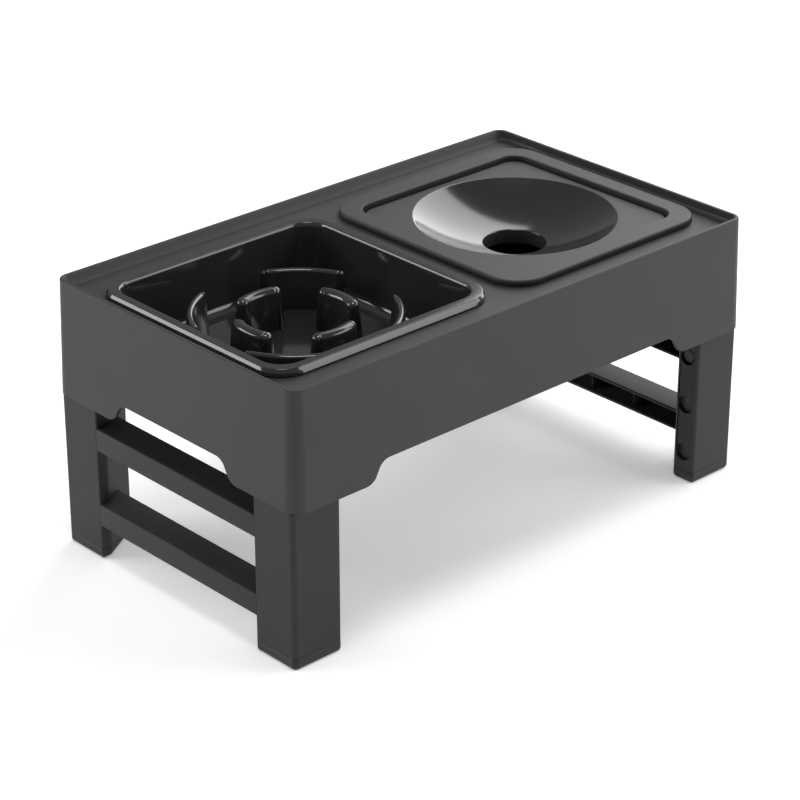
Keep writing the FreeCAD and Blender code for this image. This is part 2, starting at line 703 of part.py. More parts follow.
def make_float_plate():
    """Square plate with a skirt, a spherical dish sunk into it and a notched neck at the dish's centre.

    Tabs on the skirt catch under the cover's collar, so the plate can't rise out of the opening.
    """
    length = cover_opening_length - 2 * float_gap
    width = cover_opening_width - 2 * float_gap
    radius = cover_opening_radius - float_gap
    plate_bottom = float_top - float_plate_thickness
    plate = slab(length, width, radius, plate_bottom - float_skirt_depth, float_top, water_centre_x)
    plate = plate.makeFillet(float_edge_round, level_edges(plate, float_top))
    underside = slab(
        length - 2 * float_skirt_wall, width - 2 * float_skirt_wall, radius - float_skirt_wall,
        plate_bottom - float_skirt_depth - overrun, plate_bottom, water_centre_x,
    )
    sphere_radius = ((dish_diameter / 2) ** 2 + dish_depth**2) / (2 * dish_depth)
    sphere_centre = Vector(water_centre_x, 0, float_top - dish_depth + sphere_radius)
    dish_outside = Part.makeSphere(sphere_radius + dish_wall, sphere_centre)
    below_plate = block(
        (water_centre_x - length / 2, water_centre_x + length / 2), (-width / 2, width / 2),
        (float_top - dish_depth - dish_wall - overrun, plate_bottom + float_plate_thickness / 2),
    )
    tab_top = cover_bottom - cover_collar_depth - seat_gap
    tab_z = (tab_top - float_tab_thickness, tab_top)
    tab_half = float_tab_width / 2
    tab_root = float_skirt_wall / 2
    tab_tip = float_gap + float_tab_catch
    tabs = []
    for side in (-1, 1):
        end_x = (water_centre_x + side * (length / 2 - tab_root), water_centre_x + side * (length / 2 + tab_tip))
        tabs.append(block(end_x, (-tab_half, tab_half), tab_z))
        side_y = (side * (width / 2 - tab_root), side * (width / 2 + tab_tip))
        tabs.append(block((water_centre_x - tab_half, water_centre_x + tab_half), side_y, tab_z))
    neck_top = float_top - dish_depth
    neck_bottom = neck_top - neck_height
    axis_foot = Vector(water_centre_x, 0, neck_bottom)
    neck = Part.makeCylinder(neck_diameter / 2 + neck_wall, neck_height + dish_wall, axis_foot)
    solid = plate.cut(underside).fuse([dish_outside.common(below_plate), neck] + tabs)
    bore = Part.makeCylinder(neck_diameter / 2, dish_depth + neck_height + overrun, axis_foot - UP * overrun)
    notch_reach = neck_diameter / 2 + neck_wall + overrun
    notch_z = (neck_bottom - overrun, neck_bottom + neck_notch_height)
    notch_half = (-neck_notch_width / 2, neck_notch_width / 2)
    notch_x = (water_centre_x - notch_reach, water_centre_x + notch_reach)
    across_x = (water_centre_x + notch_half[0], water_centre_x + notch_half[1])
    notches = [block(notch_x, notch_half, notch_z), block(across_x, (-notch_reach, notch_reach), notch_z)]
    solid = solid.cut([Part.makeSphere(sphere_radius, sphere_centre), bore] + notches)
    rim = [edge for edge in level_edges(solid, float_top) if edge.Length > dish_diameter]
    rim = [edge for edge in rim if hasattr(edge.Curve, "Radius")]
    return solid.makeFillet(dish_edge_round, rim).removeSplitter()


def build():
    parts = {"tray": make_tray()}
    for side_name, side_x in (("left", -1), ("right", 1)):
        parts["leg_frame_" + side_name] = make_leg_frame(side_x)
    for name, corner in CORNERS.items():
        parts["extension_leg_" + name] = make_extension_leg(corner)
        parts["foot_cap_" + name] = make_foot_cap(corner)
        parts["snap_button_" + name] = make_snap_button(corner)
        parts["button_spring_" + name] = make_button_spring(corner)
    parts["slow_feeder_bowl"] = make_slow_feeder_bowl()
    parts["water_cover"] = make_water_cover()
    parts["water_basin"] = make_water_basin()
    parts["float_plate"] = make_float_plate()
    return parts


os.makedirs("parts", exist_ok=True)
for node, shape in build().items():
    shape.exportStep("parts/" + node + ".step")
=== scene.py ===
import math

import bmesh
import bpy
from mathutils import Matrix, Vector


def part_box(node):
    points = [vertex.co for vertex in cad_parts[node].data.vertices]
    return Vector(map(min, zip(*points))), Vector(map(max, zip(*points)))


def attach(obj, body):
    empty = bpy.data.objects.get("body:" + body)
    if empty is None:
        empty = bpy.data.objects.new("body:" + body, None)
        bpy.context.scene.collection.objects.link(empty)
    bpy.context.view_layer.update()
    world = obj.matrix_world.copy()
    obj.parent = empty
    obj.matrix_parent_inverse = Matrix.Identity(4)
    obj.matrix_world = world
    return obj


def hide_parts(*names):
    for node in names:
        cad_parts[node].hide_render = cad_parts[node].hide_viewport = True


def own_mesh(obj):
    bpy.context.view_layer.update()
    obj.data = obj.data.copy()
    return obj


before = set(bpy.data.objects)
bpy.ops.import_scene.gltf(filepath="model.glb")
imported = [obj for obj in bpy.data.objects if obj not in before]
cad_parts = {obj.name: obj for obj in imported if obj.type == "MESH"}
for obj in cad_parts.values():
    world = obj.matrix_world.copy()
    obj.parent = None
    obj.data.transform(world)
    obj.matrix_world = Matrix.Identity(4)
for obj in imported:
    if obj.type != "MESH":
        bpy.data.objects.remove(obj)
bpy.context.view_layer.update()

# Pieces are modelled in millimetres in the frame of the solids, and turned to metres when they are finished.
MM = 0.001
CORNERS = {"back_left": (-1, 1), "front_left": (-1, -1), "back_right": (1, 1), "front_right": (1, -1)}
SIDES = {"left": -1, "right": 1}


def box_mm(node):
    """Lowest and highest corner of a solid, in millimetres."""
    low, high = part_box(node)
    return low / MM, high / MM


# Steps that round a corner or an edge
corner_steps = 12
post_steps = 5
edge_steps = 5
small_edge_steps = 3
fillet_steps = 7
flange_end_steps = 8
hole_steps = 40

# Height by which loops are held apart while they are joined, and how close places are that count as the same
loop_hold = 500.0
touching = 0.01

# Tray
tray_low, tray_high = box_mm("tray")
tray_draft = math.tan(math.radians(1.6))
tray_wall = 2.8
tray_corner = 8.5
lip_height = 6.8
lip_slant = 3.2
lip_outer_round = 1.0
lip_inner_round = 0.6
deck_thickness = 3.0
deck_fillet = 2.4
arch_rise = 14.4
arch_run = 20.0
front_arch_margin = 67.0
end_arch_margin = 64.0
arch_steps = 10
foot_edge_round = 0.5
foot_edge_turn = math.radians(40.0)
well_clearance = 0.8
well_edge_round = 0.5
well_flange = 2.0
well_flange_depth = 8.0
rib_depth = 12.0
rib_thickness = 2.0
cross_rib_spacing = 9.0
stand_top = tray_high.z
apron_bottom = tray_low.z
flare = (stand_top - apron_bottom) * tray_draft
tray_length = tray_high.x - tray_low.x - 2 * flare
tray_width = tray_high.y - tray_low.y - 2 * flare
deck_top = stand_top - lip_height
deck_bottom = deck_top - deck_thickness

# Leg posts, rails and what slides in them
leg_x = box_mm("leg_frame_right")[1].x
leg_y = box_mm("leg_frame_right")[1].y
leg_depth = 39.7
leg_end_width = 37.3
leg_inner_width = 18.0
leg_strip_depth = 7.5
# Rounds of the post's five corners, from the stand's own corner on round the section
post_rounds = (3.5, 2.6, 2.2, 1.6, 1.2)
least_round = 0.8
post_edge_round = 0.4
leg_wall = 2.6
sleeve_bottom = box_mm("leg_frame_right")[0].z
shoulder_gap = 0.3
shoulder_top = apron_bottom - shoulder_gap
shoulder_thickness = 3.0
tenon_top = box_mm("leg_frame_right")[1].z
tenon_inset = 3.4
tenon_depth = 40.0
tenon_wall = 1.4
socket_inset = 1.9
pocket_inset = 3.05
rail_depth = 22.0
rail_height = 16.3
rail_wall = 2.6
rail_round = 0.9
rail_bottoms = (25.6, 82.1)
rail_end = 80.6
rail_inner_end = 89.3
rail_rib_thickness = 1.4
rail_rib_pitch = 41.5
hole_radius = 6.5
hole_inner_radius = 6.2
hole_offset = 9.9
hole_heights = (22.2, 59.6, 97.0)
extension_inset = 2.9
cavity_inset = 4.5
button_hole_radius = 5.2
button_radius = 4.9
button_dome_round = 1.3
button_flange_height = 17.0
button_flange_thickness = 1.6
flange_round_share = 0.98
spring_leaf = 0.8
spring_drop = 25.0
# Distances from the bend's two corners, outside and inside, at which the leaf starts to curve
spring_bend_runs = (4.8, 3.4)
foot_top = 7.7
foot_round = 2.8
foot_plug_inset = 4.6
foot_plug_height = 10.0

# Slow feeder bowl
slow_low, slow_high = box_mm("slow_feeder_bowl")
slow_x = (slow_low.x + slow_high.x) / 2
slow_length = slow_high.x - slow_low.x
slow_width = slow_high.y - slow_low.y
slow_body_corner = 18.5
slow_rim_height = 6.1
slow_rim_overhang = 3.6
# Loops up the outside of the rim, and then its mouth: inset from the solid's rim, rise above the seat, corner
slow_rim_rows = ((-2.9, 0.0, 21.5), (-3.4, 0.5, 22.0), (-2.4, 2.8, 20.0), (-0.9, 4.9, 18.5))
slow_mouth = (4.9, 5.0, 16.5)
slow_rim_rounds = (0.3, 0.4, 0.4)
slow_mouth_round = 0.7
slow_throat_rise = 2.9
slow_throat_round = 0.8
slow_wall = 2.4
slow_draft = math.tan(math.radians(6.0))
slow_floor_fillet = 7.0
slow_seat = slow_high.z - slow_rim_height
slow_floor = slow_low.z + slow_wall
ridge_height = 29.0
ridge_root = 1.2
ridge_round_share = 0.42
ridge_steps = 20
outer_ridges = {"radius": 69.0, "base": 8.0, "top": 4.4, "half_angle": 22.0, "start": 45.0}
inner_ridges = {"radius": 40.0, "base": 13.0, "top": 8.4, "half_angle": 20.0, "start": 0.0}

# Water bowl: cover, basin and float plate
cover_low, cover_high = box_mm("water_cover")
water_x = (cover_low.x + cover_high.x) / 2
cover_length = cover_high.x - cover_low.x
cover_width = cover_high.y - cover_low.y
cover_corner = 24.0
cover_plate = 2.0
cover_skirt = 2.2
cover_slant = 0.7
cover_round = 1.0
opening_length = 157.0
opening_width = 158.0
opening_corner = 13.0
opening_round = 0.9
collar_wall = 1.8
cover_seat = slow_seat
basin_low, basin_high = box_mm("water_basin")
basin_wall = 2.4
basin_clearance = 0.9
basin_flange_thickness = 1.8
basin_draft = math.tan(math.radians(5.0))
basin_fillet = 6.0
float_low, float_high = box_mm("float_plate")
float_gap = 2.0
float_round = 1.1
float_plate_thickness = 2.4
float_skirt_depth = 12.0
float_skirt_wall = 1.8
float_tab_width = 16.0
float_tab_thickness = 2.0
float_tab_catch = 0.7
float_tab_gap = 0.3
dish_radius = 71.0
dish_depth = 22.0
dish_wall = 2.2
dish_edge_round = 0.8
dish_steps = 14
neck_radius = 22.0
neck_wall = 2.0

# Materials


def hex_colour(code):
    """Linear colour of an sRGB hex value."""
    shares = [int(code[place:place + 2], 16) / 255 for place in (1, 3, 5)]
    linear = [share / 12.92 if share <= 0.04045 else ((share + 0.055) / 1.055) ** 2.4 for share in shares]
    return (*linear, 1.0)


def per_metre(size_mm):
    """Pattern scale at which one feature of a texture is this many millimetres across."""
    return 1 / (size_mm * MM)


def add_node(tree, kind, settings, links=()):
    """Adds a shader node, sets its sockets and properties, and links outputs into its sockets."""
    node = tree.nodes.new(kind)
    for name, value in settings.items():
        if name in node.inputs:
            node.inputs[name].default_value = value
        else:
            setattr(node, name, value)
    for name, output in links:
        tree.links.new(output, node.inputs[name])
    return node


def new_material(name):
    """Material without nodes, to be filled."""
    material = bpy.data.materials.new(name)
    material.use_nodes = True
    material.node_tree.nodes.clear()
    return material


def moulded_plastic(name, dark, light, rough, grain_mm, grain_height_mm, cloud_mm, specular):
    """Moulded plastic or rubber: cloudy tone from its flow, and the tool's grain in gloss and relief."""
    material = new_material(name)
    tree = material.node_tree
    place = add_node(tree, "ShaderNodeTexCoord", {}).outputs["Object"]
    clouds = add_node(
        tree, "ShaderNodeTexNoise", {"Scale": per_metre(cloud_mm), "Detail": 3.0, "Roughness": 0.55},
        [("Vector", place)],
    )
    tone = add_node(tree, "ShaderNodeValToRGB", {}, [("Fac", clouds.outputs["Fac"])])
    tone.color_ramp.elements[0].position = 0.3
    tone.color_ramp.elements[1].position = 0.7
    tone.color_ramp.elements[0].color = hex_colour(dark)
    tone.color_ramp.elements[1].color = hex_colour(light)
    grain = add_node(
        tree, "ShaderNodeTexNoise", {"Scale": per_metre(grain_mm), "Detail": 4.0, "Roughness": 0.6},
        [("Vector", place)],
    )
    gloss = add_node(
        tree, "ShaderNodeMapRange", {"To Min": rough[0], "To Max": rough[1]},
        [("Value", grain.outputs["Fac"])],
    )
    relief = add_node(
        tree, "ShaderNodeBump", {"Strength": 0.5, "Distance": grain_height_mm * MM},
        [("Height", grain.outputs["Fac"])],
    )
    shader = add_node(
        tree, "ShaderNodeBsdfPrincipled",
        {"IOR": 1.49, "Specular IOR Level": specular},
        [
            ("Base Color", tone.outputs["Color"]),
            ("Roughness", gloss.outputs["Result"]),
            ("Normal", relief.outputs["Normal"]),
        ],
    )
    add_node(tree, "ShaderNodeOutputMaterial", {}, [("Surface", shader.outputs["BSDF"])])
    return material


# Polypropylene moulded in a spark-eroded tool: a dry dark grey that catches light only as a soft sheen on its
# edges. The grain is about 0.2 mm on the object, and is drawn at 0.7 mm so that it shows.
spark_grained_polypropylene = moulded_plastic(
    "spark_grained_polypropylene", dark="#2c2c2c", light="#303030", rough=(0.46, 0.60), grain_mm=0.7,
    grain_height_mm=0.02, cloud_mm=60.0, specular=0.4,
)
# Polypropylene moulded in a polished tool: near black, with sharp bright reflections along its rounded edges.
polished_polypropylene = moulded_plastic(
    "polished_polypropylene", dark="#252525", light="#292929", rough=(0.09, 0.14), grain_mm=9.0,
    grain_height_mm=0.03, cloud_mm=45.0, specular=0.7,
)
# The dish of the float plate comes from a polished insert in the tool, which gives its broad bright gleams;
# its base colour near black, darker than the rest of the plate, is painted shade.
polished_dish_painted_shade = moulded_plastic(
    "polished_dish_painted_shade", dark="#101010", light="#141414", rough=(0.12, 0.16), grain_mm=12.0,
    grain_height_mm=0.03, cloud_mm=45.0, specular=0.9,
)
# The leg frames take the tray's plastic with a darker base colour, which is painted shade, and a weaker
# sheen.
leg_polypropylene_painted_shade = moulded_plastic(
    "leg_polypropylene_painted_shade", dark="#262626", light="#2a2a2a", rough=(0.46, 0.60), grain_mm=0.7,
    grain_height_mm=0.02, cloud_mm=60.0, specular=0.3,
)
# Moulded rubber in the grey of the posts, so that only the thin seam above it shows. Its grain is drawn
# coarser than it is, as on the plastic.
moulded_rubber = moulded_plastic(
    "moulded_rubber", dark="#2a2a2a", light="#2e2e2e", rough=(0.50, 0.62), grain_mm=0.9, grain_height_mm=0.03,
    cloud_mm=30.0, specular=0.33,
)


def rolled_spring_steel():
    """Rolled strip steel: bright metal with lines along the upright strip, drawn coarser than they are."""
    material = new_material("rolled_spring_steel")
    tree = material.node_tree
    place = add_node(tree, "ShaderNodeTexCoord", {}).outputs["Object"]
    along = add_node(tree, "ShaderNodeMapping", {"Scale": (1.0, 1.0, 0.05)}, [("Vector", place)])
    lines = add_node(
        tree, "ShaderNodeTexNoise", {"Scale": per_metre(0.4), "Detail": 3.0},
        [("Vector", along.outputs["Vector"])],
    )
    gloss = add_node(
        tree, "ShaderNodeMapRange", {"To Min": 0.22, "To Max": 0.42}, [("Value", lines.outputs["Fac"])]
    )
    shader = add_node(
        tree, "ShaderNodeBsdfPrincipled", {"Base Color": hex_colour("#a8a9ab"), "Metallic": 1.0},
        [("Roughness", gloss.outputs["Result"])],
    )
    add_node(tree, "ShaderNodeOutputMaterial", {}, [("Surface", shader.outputs["BSDF"])])
    return material


spring_steel = rolled_spring_steel()

# Shaping


def edges_at(verts):
    """Edges that meet at any of the points, each once and in the same order on every run."""
    return list(dict.fromkeys(edge for vert in verts for edge in vert.link_edges))


def loop_of(verts):
    """Edges that join the given points to each other."""
    members = set(verts)
    return [edge for edge in edges_at(verts) if members.issuperset(edge.verts)]


def points_of(made):
    """Points among what an operator has made."""
    return [item for item in made if isinstance(item, bmesh.types.BMVert)]


def round_corners(bm, verts, radius, steps=edge_steps):
    """Rounds corners of a flat face, and returns the face."""
    made = bmesh.ops.bevel(
        bm, geom=verts, offset=radius, offset_type="OFFSET", affect="VERTICES", segments=steps, profile=0.5,
        material=-1,
    )
    return made["verts"][0].link_faces[0]


def rounded_outline(bm, face, rounds, steps):
    """Rounds each corner of a flat face by its own radius, and leaves the outline as a loop of edges."""
    for vert, radius in zip(list(face.verts), rounds):
        face = round_corners(bm, [vert], radius, steps)
    outline = list(face.edges)
    bmesh.ops.delete(bm, geom=[face], context="FACES_ONLY")
    return outline


def plan(bm, length, width, radius, height, middle_x=0.0):
    """Level rectangle with rounded corners, as a loop of edges."""
    corners = bmesh.ops.create_grid(bm, x_segments=1, y_segments=1, size=0.5)["verts"]
    bmesh.ops.scale(bm, vec=(length, width, 1), verts=corners)
    bmesh.ops.translate(bm, vec=(middle_x, 0, height), verts=corners)
    return rounded_outline(bm, corners[0].link_faces[0], [radius] * 4, corner_steps)


def opening_plan(bm, grow, height):
    """Outline of the opening in the water cover, grown all round."""
    return plan(
        bm, opening_length + 2 * grow, opening_width + 2 * grow, opening_corner + grow, height, water_x
    )


def ring(bm, radius, height, middle_x):
    """Level circle with as many points as a rounded rectangle, as a loop of edges."""
    made = bmesh.ops.create_circle(
        bm, segments=4 * (corner_steps + 1), radius=radius, matrix=Matrix.Translation((middle_x, 0, height))
    )
    return loop_of(made["verts"])


def post_section(bm, corner, inset, height):
    """Five-sided section of a leg post, set in all round, as a loop of edges."""
    side_x, side_y = corner
    places = (
        (0, 0),
        (leg_depth, 0),
        (leg_depth, leg_inner_width),
        (leg_strip_depth, leg_end_width),
        (0, leg_end_width),
    )
    verts = [bm.verts.new((side_x * (leg_x - u), side_y * (leg_y - v), height)) for u, v in places]
    face = bm.faces.new(verts)
    if inset:
        face.normal_update()
        rim = bmesh.ops.inset_region(
            bm, faces=[face], use_boundary=True, use_even_offset=True, thickness=inset
        )["faces"]
        kept = set(face.verts)
        outer = dict.fromkeys(vert for band in rim for vert in band.verts if vert not in kept)
        bmesh.ops.delete(bm, geom=list(outer), context="VERTS")
    rounds = [max(radius - inset, least_round) for radius in post_rounds]
    return rounded_outline(bm, face, rounds, post_steps)


def skin(bm, loops, closed=False):
    """Joins each loop of edges to the next one by a band of faces.

    The loops are held well apart while they are joined, so that those in one plane pair up point by point.
    """
    following = loops[1:] + loops[:1] if closed else loops[1:]
    for first, second in zip(loops, following):
        points = list(dict.fromkeys(vert for edge in second for vert in edge.verts))
        bmesh.ops.translate(bm, vec=(0, 0, loop_hold), verts=points)
        bmesh.ops.bridge_loops(bm, edges=first + second)
        bmesh.ops.translate(bm, vec=(0, 0, -loop_hold), verts=points)


def lid(bm, loop):
    """Closes a loop of edges with one flat face."""
    bmesh.ops.contextual_create(bm, geom=loop)


def round_off(bm, edges, radius, steps=edge_steps):
    """Rounds edges, once the faces beside them all point the same way."""
    bmesh.ops.recalc_face_normals(bm, faces=bm.faces)
    bmesh.ops.bevel(
        bm, geom=edges, offset=radius, offset_type="OFFSET", affect="EDGES", segments=steps, profile=0.5,
        material=-1,
    )


def bar(bm, low, high):
    """Box between two corners, and its points."""
    verts = bmesh.ops.create_cube(bm, size=1)["verts"]
    low, high = Vector(low), Vector(high)
    bmesh.ops.scale(bm, vec=high - low, verts=verts)
    bmesh.ops.translate(bm, vec=(low + high) / 2, verts=verts)
    return verts


def pierce(bm, wall, middles, radius):
    """Opens round holes in a flat wall that faces along X, and returns the loops of their edges."""
    rim = list(wall.edges)
    loops = []
    for middle in middles:
        place = Matrix.Translation(middle) @ Matrix.Rotation(math.pi / 2, 4, "Y")
        made = bmesh.ops.create_circle(bm, segments=hole_steps, radius=radius, matrix=place)
        loops.append(loop_of(made["verts"]))
    bmesh.ops.delete(bm, geom=[wall], context="FACES_ONLY")
    bmesh.ops.triangle_fill(bm, use_beauty=True, edges=rim + [edge for loop in loops for edge in loop])
    return loops


def lies_at(item, x):
    """Whether a face or an edge lies across X at the given place."""
    return all(abs(vert.co.x - x) < touching for vert in item.verts)


def flat_wall(faces, x):
    """Largest of some faces that lie across X at the given place."""
    return max((face for face in faces if lies_at(face, x)), key=lambda face: face.calc_area())


def finish_piece(bm, name, body, nodes, materials):
    """Turns a shape into a piece of the scene: smooth, with normals weighted by face area, and riding on its
    body.
    """
    bmesh.ops.recalc_face_normals(bm, faces=bm.faces)
    bmesh.ops.scale(bm, vec=(MM, MM, MM), verts=bm.verts)
    for face in bm.faces:
        face.smooth = True
    mesh = bpy.data.meshes.new(name)
    bm.to_mesh(mesh)
    bm.free()
    piece = bpy.data.objects.new(name, mesh)
    bpy.context.scene.collection.objects.link(piece)
    for material in materials:
        mesh.materials.append(material)
    normals = piece.modifiers.new("face_normals", "WEIGHTED_NORMAL")
    normals.keep_sharp = True
    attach(piece, body)
    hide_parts(*nodes)
    return piece


# Tray


def tray_plan(bm, height, inset, slant=0.0):
    """Outline of the tray at a height, set in all round, and further in by the slant of the long walls."""
    grow = (stand_top - height) * tray_draft - inset
    return plan(bm, tray_length + 2 * grow, tray_width + 2 * (grow - slant), tray_corner + grow, height)


def arch_lift(run):
    """Height of the arch's S-shaped end at a distance in from its foot."""
    radius = (arch_run**2 + arch_rise**2) / (4 * arch_rise)
    if run <= arch_run / 2:
        return radius - math.sqrt(radius**2 - run**2)
    return arch_rise - radius + math.sqrt(radius**2 - (arch_run - run) ** 2)


def raise_arch(bm, edges, axis, half_span):
    """Cuts points into the straight lower edges of one side of the apron, and lifts them to an arch."""
    across = 1 - axis
    points = points_of(bmesh.ops.subdivide_edges(bm, edges=edges, cuts=2 * (arch_steps + 1))["geom_inner"])
    foot = half_span + arch_run / 2
    runs = [arch_run * step / arch_steps for step in range(arch_steps + 1)]
    rising = [(run - foot, arch_lift(run)) for run in runs]
    falling = [(foot - run, arch_lift(run)) for run in reversed(runs)]
    for level in sorted({round(point.co[across], 3) for point in points}):
        row = [point for point in points if abs(point.co[across] - level) < touching]
        row.sort(key=lambda point: point.co[axis])
        for point, (place, lift) in zip(row, rising + falling):
            point.co[axis] = place
            point.co.z += lift
            point.co[across] -= math.copysign(lift * tray_draft, level)


def well_plans(bm, grow, height):
    """Outlines of the two openings in the deck, grown all round."""
    slow_cut = slow_rim_overhang - well_clearance - grow
    slow_round = slow_body_corner + well_clearance + grow
    water_grow = collar_wall + basin_clearance + basin_wall + well_clearance + grow
    slow = plan(bm, slow_length - 2 * slow_cut, slow_width - 2 * slow_cut, slow_round, height, slow_x)
    return slow, opening_plan(bm, water_grow, height)


def tray_shell():
    """Apron and lip in one wall, a sunk deck with two flanged openings, and ribs and sockets beneath."""
    bm = bmesh.new()
    outer_foot = tray_plan(bm, apron_bottom, 0)
    outer_lip = tray_plan(bm, stand_top, 0)
    inner_lip = tray_plan(bm, stand_top, tray_wall)
    deck_rim = tray_plan(bm, deck_top, tray_wall, lip_slant)
    skin(bm, [outer_foot, outer_lip, inner_lip, deck_rim])
    deck_wells = well_plans(bm, 0, deck_top)
    bmesh.ops.triangle_fill(bm, use_beauty=True, edges=deck_rim + deck_wells[0] + deck_wells[1])
    flange_foot = deck_bottom - well_flange_depth
    under_wells = well_plans(bm, well_flange, deck_bottom)
    flange_inside = well_plans(bm, 0, flange_foot)
    flange_outside = well_plans(bm, well_flange, flange_foot)
    for loops in zip(deck_wells, flange_inside, flange_outside, under_wells):
        skin(bm, list(loops))
    under_rim = tray_plan(bm, deck_bottom, tray_wall)
    inner_foot = tray_plan(bm, apron_bottom, tray_wall)
    bmesh.ops.triangle_fill(bm, use_beauty=True, edges=under_rim + under_wells[0] + under_wells[1])
    skin(bm, [under_rim, inner_foot, outer_foot])

    # Arches along the foot of the apron, then the rounds
    arches = ((0, tray_length / 2, front_arch_margin), (1, tray_width / 2, end_arch_margin))
    for axis, reach, margin in arches:
        for side in SIDES.values():
            edges = []
            for edge in outer_foot + inner_foot:
                middle = (edge.verts[0].co + edge.verts[1].co) / 2
                if edge.calc_length() > reach and middle[1 - axis] * side > 0:
                    edges.append(edge)
            raise_arch(bm, edges, axis, reach - margin)
    foot_edges = []
    for edge in bm.edges:
        low_down = max(vert.co.z for vert in edge.verts) < apron_bottom + arch_rise + foot_edge_round
        if low_down and edge.calc_face_angle() > foot_edge_turn:
            foot_edges.append(edge)
    round_off(bm, foot_edges, foot_edge_round, small_edge_steps)
    round_off(bm, outer_lip, lip_outer_round)
    round_off(bm, inner_lip, lip_inner_round, small_edge_steps)
    round_off(bm, deck_rim, deck_fillet)
    round_off(bm, deck_wells[0] + deck_wells[1], well_edge_round, small_edge_steps)

    # Ribs under the deck, and the sockets that take the posts' tenons
    long_rib_half = leg_x - leg_depth
    long_rib_y = (tray_width + cover_width) / 4
    rib_foot = deck_bottom - rib_depth
    rib_top = deck_bottom + deck_thickness / 2
    for side in SIDES.values():
        near, far = sorted((side * long_rib_y, side * (long_rib_y + rib_thickness)))
        bar(bm, (-long_rib_half, near, rib_foot), (long_rib_half, far, rib_top))
        start = (slow_high.x + cover_low.x) / 2 + (side * cross_rib_spacing - rib_thickness) / 2
        reach = tray_width / 2 - tray_wall / 2
        bar(bm, (start, -reach, rib_foot), (start + rib_thickness, reach, rib_top))
    for corner in CORNERS.values():
        rows = (
            (socket_inset, deck_bottom), (socket_inset, apron_bottom),
            (pocket_inset, apron_bottom), (pocket_inset, deck_bottom),
        )
        skin(bm, [post_section(bm, corner, inset, height) for inset, height in rows], closed=True)
    return finish_piece(bm, "tray_shell", "tray", ["tray"], [spark_grained_polypropylene])


# Leg frames and what slides in them


def post_shell(bm, corner):
    """Hollow post with a shoulder, a hollow tenon on top and three holes in its inner face."""
    side_x, side_y = corner
    shoulder_bottom = shoulder_top - shoulder_thickness
    hollow_bottom = tenon_top - tenon_depth
    rows = (
        (leg_wall, shoulder_bottom),
        (leg_wall, sleeve_bottom),
        (0, sleeve_bottom),
        (0, shoulder_top),
        (tenon_inset, shoulder_top),
        (tenon_inset, tenon_top),
        (tenon_inset + tenon_wall, tenon_top),
        (tenon_inset + tenon_wall, hollow_bottom),
    )
    loops = [post_section(bm, corner, inset, height) for inset, height in rows]
    skin(bm, loops)
    lid(bm, loops[0])
    lid(bm, loops[-1])
    walls = []
    for depth, radius in ((leg_depth, hole_radius), (leg_depth - leg_wall, hole_inner_radius)):
        wall_x = side_x * (leg_x - depth)
        middles = [Vector((wall_x, side_y * (leg_y - hole_offset), height)) for height in hole_heights]
        near_side = [face for face in bm.faces if face.calc_center_median().y * side_y > 0]
        walls.append(pierce(bm, flat_wall(near_side, wall_x), middles, radius))
    for outer, inner in zip(*walls):
        bmesh.ops.bridge_loops(bm, edges=outer + inner)
        round_off(bm, outer, post_edge_round, small_edge_steps)
    round_off(bm, loops[2] + loops[3], post_edge_round, small_edge_steps)


def rail(bm, side_x, bottom):
    """Channel that opens inwards, its ends cut to the posts' slanted faces, with thin upright ribs."""
    top = bottom + rail_height
    section = (
        (0, bottom), (0, top), (rail_depth, top), (rail_depth, top - rail_wall),
        (rail_wall, top - rail_wall), (rail_wall, bottom + rail_wall),
        (rail_depth, bottom + rail_wall), (rail_depth, bottom),
    )
    verts = [bm.verts.new((side_x * (leg_x - depth), -rail_end, height)) for depth, height in section]
    far = points_of(bmesh.ops.extrude_face_region(bm, geom=[bm.faces.new(verts)])["geom"])
    bmesh.ops.translate(bm, vec=(0, 2 * rail_end, 0), verts=far)
    for vert in verts + far:
        depth = leg_x - abs(vert.co.x)
        share = max(depth - rail_wall, 0) / (rail_depth - rail_wall)
        vert.co.y += math.copysign(share * (rail_inner_end - rail_end), vert.co.y)
    long_edges = []
    for edge in edges_at(verts):
        if lies_at(edge, side_x * leg_x) and edge.calc_length() > rail_end:
            long_edges.append(edge)
    round_off(bm, long_edges, rail_round, small_edge_steps)
    for place in (-rail_rib_pitch, 0, rail_rib_pitch):
        near, far_x = sorted((side_x * (leg_x - rail_wall / 2), side_x * (leg_x - rail_depth + rail_wall)))
        half = rail_rib_thickness / 2
        bar(bm, (near, place - half, bottom + rail_wall / 2), (far_x, place + half, top - rail_wall / 2))


def leg_frame(side, side_x):
    """Two posts joined by two rails."""
    bm = bmesh.new()
    for side_y in (-1, 1):
        post_shell(bm, (side_x, side_y))
    for bottom in rail_bottoms:
        rail(bm, side_x, bottom)
    name = "leg_frame_" + side
    # The frames take the darker copy of the tray's plastic, whose darker base colour is painted shade.
    return finish_piece(bm, name + "_moulding", name, [name], [leg_polypropylene_painted_shade])


def extension_leg(name, corner):
    """Square-ended tube in the post's section, with a hole for its button."""
    bm = bmesh.new()
    side_x, side_y = corner
    low, high = box_mm("extension_leg_" + name)
    rows = (
        (extension_inset, low.z), (extension_inset, high.z), (cavity_inset, high.z), (cavity_inset, low.z)
    )
    skin(bm, [post_section(bm, corner, inset, height) for inset, height in rows], closed=True)
    walls = []
    for inset in (extension_inset, cavity_inset):
        wall_x = side_x * (leg_x - leg_depth + inset)
        middle = Vector((wall_x, side_y * (leg_y - hole_offset), hole_heights[-1]))
        walls.append(pierce(bm, flat_wall(bm.faces, wall_x), [middle], button_hole_radius)[0])
    bmesh.ops.bridge_loops(bm, edges=walls[0] + walls[1])
    return finish_piece(
        bm, "extension_tube_" + name, "extension_" + name, ["extension_leg_" + name],
        [spark_grained_polypropylene],
    )


